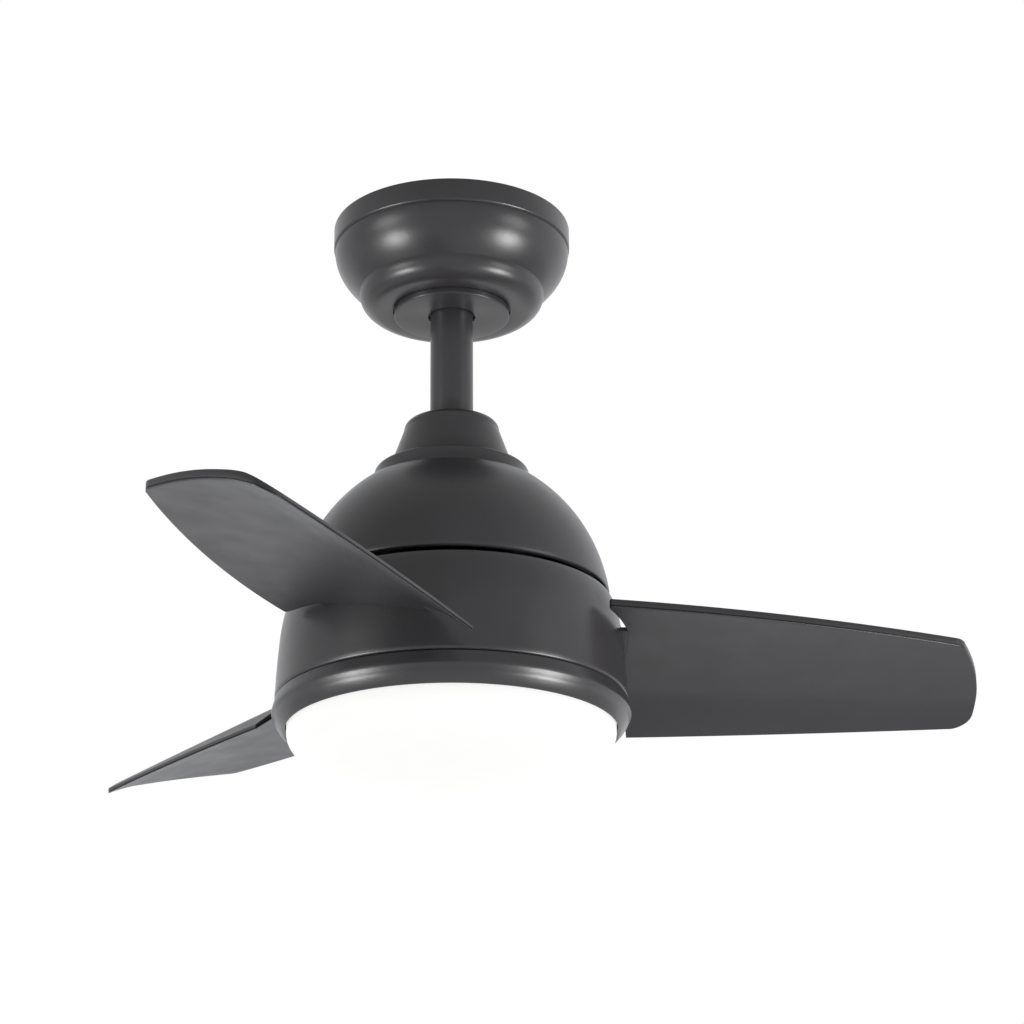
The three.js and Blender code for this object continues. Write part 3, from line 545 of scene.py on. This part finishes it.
def make_coupling_cover():
    k = Span("coupling_cover")
    rod, top, bottom = 13.1 * MM, k.top, k.bottom
    skin = [(rod, top, 0), (20.6 * MM, top, 0), (22.4 * MM, top - 0.15 * MM, 0)]
    skin += ellipse((22.8 * MM, top - 5 * MM), (4.8 * MM, 5 * MM), 78, 0, 12)
    skin += [(27.9 * MM, top - 6.2 * MM, 0), (k.radius - 0.6 * MM, bottom + 1.6 * MM, 0)]
    skin += [(k.radius, bottom, 0)]
    outline = [(x, z) for x, z, _ in skin + inset(skin, 1.2 * MM)]
    mesh = lathe("coupling_collar", outline)
    new_object("coupling_collar", mesh, "charcoal_paint", "fan_frame", "coupling_cover")


def make_dome():
    d = Span("motor_dome")
    neck = 44.5 * MM
    neck_low = d.top - 9.9 * MM
    centre, height = d.top - 89.6 * MM, 95.57 * MM
    lip_angle = math.degrees(math.asin((d.bottom - centre) / height))
    neck_angle = math.degrees(math.asin((neck_low - 1.6 * MM - centre) / height))
    radius = d.radius / math.cos(math.radians(lip_angle))
    skin = [(7.8 * MM, d.top, 0), (neck - 2.2 * MM, d.top, 0)]
    skin += ellipse((neck - 2.0 * MM, d.top - 2.0 * MM), (2.0 * MM, 2.0 * MM), 85, 0, 8)
    skin += [(neck + 0.15 * MM, neck_low + 2.6 * MM, 0), (neck + 0.7 * MM, neck_low + 1.0 * MM, 0)]
    skin += [(neck + 1.9 * MM, neck_low - 0.2 * MM, 0)]
    skin += ellipse((0, centre), (radius, height), neck_angle, lip_angle + 0.9, 40)
    lip_x = skin[-1][0]
    skin += [(lip_x - 0.12 * MM, d.bottom + 0.5 * MM, 0), (lip_x - 0.7 * MM, d.bottom, 0)]
    outline = [(x, z) for x, z, _ in skin + inset(skin, 1.5 * MM)]
    new_object("dome_shell", lathe("dome_shell", outline), "charcoal_paint", "fan_frame", "motor_dome")


def make_band():
    b = Span("lower_housing")
    low = b.bottom - 0.35 * MM
    skin = [(89.6, 0), (90.3, -0.25), (90.9, -0.9), (92.4, -4)]
    skin += [(94.3, -10), (96, -19), (97.2, -31), (98.2, -44)]
    skin = [(x * MM, b.top + z * MM, 0) for x, z in skin]
    skin = [(x, z, 0) for x, z in curve_through([(x, z) for x, z, _ in skin], 4)]
    skin += [(98.7 * MM, low + 5 * MM, 0), (b.radius, low + 3 * MM, 0)]
    skin += ellipse((b.radius - 1.9 * MM, low + 2.1 * MM), (1.9 * MM, 2.1 * MM), -5, -84, 9)
    outline = [(x, z) for x, z, _ in skin + inset(skin, 1.5 * MM)]
    new_object("turning_band", lathe("turning_band", outline), "charcoal_paint", "rotor", "lower_housing")


def curve_through(points, steps):
    """A smooth line through points, with the ends kept."""
    ends = [points[0]] + list(points) + [points[-1]]
    line = []
    for i in range(1, len(ends) - 2):
        p0, p1, p2, p3 = (Vector(p) for p in ends[i - 1:i + 3])
        for k in range(steps):
            t = k / steps
            q = p1 * 2 + (p2 - p0) * t + (p0 * 2 - p1 * 5 + p2 * 4 - p3) * t * t
            q += (p1 * 3 - p0 - p2 * 3 + p3) * t ** 3
            line.append(tuple(q / 2))
    return line + [tuple(points[-1])]


def make_trim():
    t = Span("trim_ring")
    top, bottom, wall = t.top, t.bottom, 1.3 * MM
    high = (top - bottom) / MM
    rim = [(98.2, high + 0.4), (98.8, high + 0.15), (99.3, high - 1.5)]
    rim += [(99.9, high - 3.6), (100.4, high - 5.6), (100.5, high - 7.0)]
    face = [(100.2, high - 7.8), (99.5, high - 9.1), (98.5, 5.2), (97.2, 3.3), (95.8, 1.6), (94.5, 0.3)]
    skin = curve_through([(x * MM, bottom + z * MM) for x, z in rim + face], 5)
    inner = [(93.6, 0), (93.1, 0.35), (93.0, 1.0), (93.0, 3.8), (96.4, 3.8)]
    flange = top - 2.7 * MM
    outline = [(84 * MM, flange), (96.6 * MM, flange), (97 * MM, top), *skin]
    outline += [(x * MM, bottom + z * MM) for x, z in inner]
    outline += [(96.4 * MM, flange - wall), (84 * MM, flange - wall)]
    mesh = lathe("light_ring", outline)
    new_object("light_ring", mesh, "charcoal_paint", "fan_frame", "trim_ring")


def make_diffuser():
    d = Span("trim_ring")
    low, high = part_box("diffuser")
    rim, radius, depth = d.bottom, 92 * MM, d.bottom - low.z
    wall = 2 * MM

    def bowl(size, deep, steps):
        points = []
        for i in range(steps + 1):
            angle = math.pi / 2 * i / steps
            x = size * max(math.cos(angle), 0) ** (2 / 2.3)
            points.append((x if i < steps else 0, rim - deep * math.sin(angle) ** (2 / 2.3)))
        return points

    outline = bowl(radius, depth, 48)[::-1] + [(radius, high.z - 0.4 * MM), (radius - 0.4 * MM, high.z)]
    outline += [(radius - wall + 0.3 * MM, high.z), (radius - wall, high.z - 0.3 * MM)]
    outline += bowl(radius - wall, depth - wall, 32)
    new_object("opal_bowl", lathe("opal_bowl", outline), "opal_diffuser", "light_cover", "diffuser")


# ---------- blades ----------
BLADE_TURN = 0.0186  # how far the first blade stands from the x axis, in radians


def quadratic(start, slope, bend):
    return lambda r: start + slope * (r - 100) + bend * (r - 100) ** 2


upper_edge = quadratic(-56, 0.112, 0.00068)  # distance across the blade, in mm, r mm out
lower_edge = quadratic(69.5, 0.055, -0.00018)
upper_z = quadratic(-256.2, -0.032, 0)
lower_z = quadratic(-279.6, -0.005, 0)
BEND_SHARE, BEND_SOFT = 0.815, 9  # where the lower edge turns down, and half the length of the bend in mm


def clamp(value, low=0.0, high=1.0):
    return max(low, min(high, value))


def lerp(a, b, t):
    return a + (b - a) * t


def underside(r, share):
    """Height of a blade's underside, from its upper edge (share 0) to its turned-down lower edge (1)."""
    width = lower_edge(r) - upper_edge(r)
    out = clamp((r - 100) / 200)
    flat = lerp(upper_z(r), lower_z(r), share)
    arch = lerp(2.6, 1.2, out) * math.sin(math.pi * min(share / BEND_SHARE, 1))
    drop = 13.2 - 0.043 * (r - 100)
    reach = (1 - BEND_SHARE) * width
    past = max(0.0, (share - BEND_SHARE) * width + BEND_SOFT)
    bent = past ** 2 / (4 * BEND_SOFT) if past < 2 * BEND_SOFT else past - BEND_SOFT
    return flat + arch - drop / reach * bent


def thickness(share):
    if share < BEND_SHARE:
        return lerp(4.8, 5.6, share / BEND_SHARE)
    return lerp(5.6, 3.0, (share - BEND_SHARE) / (1 - BEND_SHARE))


def corner(length, into):
    return length * (1 - math.sqrt(1 - clamp(into) ** 2))


def root_r(share):
    s = lerp(upper_edge(85), lower_edge(100), share)
    hollow = math.sqrt(max(101.2 ** 2 - s ** 2, 0))
    face = min(hollow, 98) if s < 0 else 98 + 5 * (s / 70) ** 2
    return face + corner(4, (0.04 - share) / 0.04)


def tip_r(share, reach):
    bow = 28.5 * (share - 0.79) ** 2
    return reach - bow - corner(12, (share - 0.87) / 0.13) - corner(4, (0.04 - share) / 0.04)


# A fine line moulded along the side wall, as (height, depth) in mm.
EDGE_LINE = [(0.55, 0.7), (1.2, 0.7), (1.25, 0)]


def make_blade(index, reach):
    """A pitched, cupped blade with rounded edges, as one closed skin."""
    angle = BLADE_TURN + index * 2 * math.pi / 3
    shares = [0, 0.0012, 0.003, 0.006, 0.012, 0.02, 0.03, 0.045]
    shares += [0.045 + 0.805 * i / 40 for i in range(1, 41)]
    shares += [0.85 + 0.15 * math.sin(math.pi / 2 * i / 22) for i in range(1, 23)]
    alongs = [0, 0.002, 0.006, 0.012]
    alongs += [0.012 + 0.97 * i / 44 for i in range(1, 45)] + [0.99, 0.996, 0.999, 1]
    soft = 0.5  # rounding of the skin's edge, in mm

    def spot(share, along, top):
        r = lerp(root_r(share), tip_r(share, reach), along)
        s = lerp(upper_edge(r), lower_edge(r), share)
        span = tip_r(share, reach) - root_r(share)
        width = lower_edge(r) - upper_edge(r)
        edge = min(share * width, (1 - share) * width, along * span, (1 - along) * span)
        into = clamp(edge / soft)
        rounding = soft * (1 - math.sqrt(1 - (1 - into) ** 2))
        return turned(r, s, underside(r, share) + (thickness(share) - rounding if top else rounding))

    def turned(r, s, z):
        x = r * math.cos(angle) - s * math.sin(angle)
        y = r * math.sin(angle) + s * math.cos(angle)
        return x * MM, y * MM, z * MM

    def side(share, along, height, depth):
        """A point on the side wall, a height above the underside and a depth into the wall."""
        span = tip_r(share, reach) - root_r(share)
        low = underside(lerp(root_r(share), tip_r(share, reach), along), share)
        along = clamp(along, depth / span, 1 - depth / span)
        r = lerp(root_r(share), tip_r(share, reach), along)
        share = clamp(share, depth / 110, 1 - depth / 110)
        return turned(r, lerp(upper_edge(r), lower_edge(r), share), low + height)

    verts = [spot(share, along, top) for top in (False, True) for along in alongs for share in shares]
    rows, columns = len(alongs), len(shares)

    def at(top, row, column):
        return top * rows * columns + row * columns + column

    faces = []
    for row in range(rows - 1):
        for column in range(columns - 1):
            for top in (0, 1):
                near = at(top, row, column), at(top, row + 1, column)
                far = at(top, row + 1, column + 1), at(top, row, column + 1)
                faces.append(near + far)
    rim = [(row, 0) for row in range(rows)] + [(rows - 1, column) for column in range(1, columns)]
    rim += [(row, columns - 1) for row in range(rows - 2, -1, -1)]
    rim += [(0, column) for column in range(columns - 2, 0, -1)]
    loops = [[at(0, row, column) for row, column in rim]]
    for height, depth in EDGE_LINE:
        loops.append([len(verts) + i for i in range(len(rim))])
        verts += [side(shares[column], alongs[row], height, depth) for row, column in rim]
    loops.append([at(1, row, column) for row, column in rim])
    for lower, upper in zip(loops, loops[1:]):
        for i in range(len(rim)):
            n = (i + 1) % len(rim)
            faces.append((lower[i], lower[n], upper[n], upper[i]))

    # The tongue bridges the hollow root and enters the band.
    start, steps = len(verts), 12
    for height in (0.15, 2.5):
        for r in (93, 104):
            for i in range(steps + 1):
                s = lerp(-26.8, 38, i / steps)
                share = (s - upper_edge(98)) / (lower_edge(98) - upper_edge(98))
                verts.append(turned(r, s, underside(98, share) + height))
    for i in range(steps):
        ring = [start + row * (steps + 1) + i for row in (0, 1, 3, 2)]
        for a, b in zip(ring, ring[1:] + ring[:1]):
            faces.append((a, b, b + 1, a + 1))
    for i in (0, steps):
        faces.append(tuple(start + row * (steps + 1) + i for row in (0, 1, 3, 2)))

    name = f"blade_skin_{index + 1}"
    mesh = bpy.data.meshes.new(name)
    mesh.from_pydata(verts, [], faces)
    outwards(mesh)
    smooth(mesh, 40)
    new_object(name, mesh, "blade_plastic", "rotor", f"blade_{index + 1}")


# ---------- build ----------
def finish_cad_nodes():
    """Give every CAD node that stays in view its own finish and softly broken edges."""
    slots = {row["node"]: row["material_slot"] for row in frame["record"]["subparts"]}
    for name, node in frame["nodes"].items():
        if node.hide_render:
            continue
        node.data.materials.clear()
        node.data.materials.append(materials[slots[name]])
        bevel = node.modifiers.new("edge", "BEVEL")
        bevel.width = 0.25 * MM
        bevel.segments = 2
        bevel.limit_method = "ANGLE"
        bevel.angle_limit = math.radians(40)
        bevel.harden_normals = False


make_camera()
make_world()
soft_light("left_box", (-0.775, -0.349, -0.527), 1.9, 0.66, 21)
soft_light("right_box", (0.775, -0.349, -0.527), 1.9, 0.66, 28.5)
soft_light("left_strip", (-0.88, -0.47, 0.02), 2.0, 0.9, 9)
soft_light("right_strip", (0.88, -0.47, 0.02), 2.0, 0.9, 8)
soft_light("floor_wash", (0, 0, 1), 1.2, 2.8, 14, (0, 3.2, -2.4))
make_floor()
materials = make_materials()
make_canopy()
make_canopy_cover()
make_downrod()
make_coupling_cover()
make_dome()
make_band()
make_trim()
make_diffuser()
blade_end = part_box("blade_1")[1].x / MM
blade_reach = (blade_end + 50 * math.sin(BLADE_TURN)) / math.cos(BLADE_TURN) - 0.25
for blade in range(3):
    make_blade(blade, blade_reach)
finish_cad_nodes()
scene = bpy.context.scene
scene.view_settings.view_transform = "Standard"
scene.view_settings.look = "None"
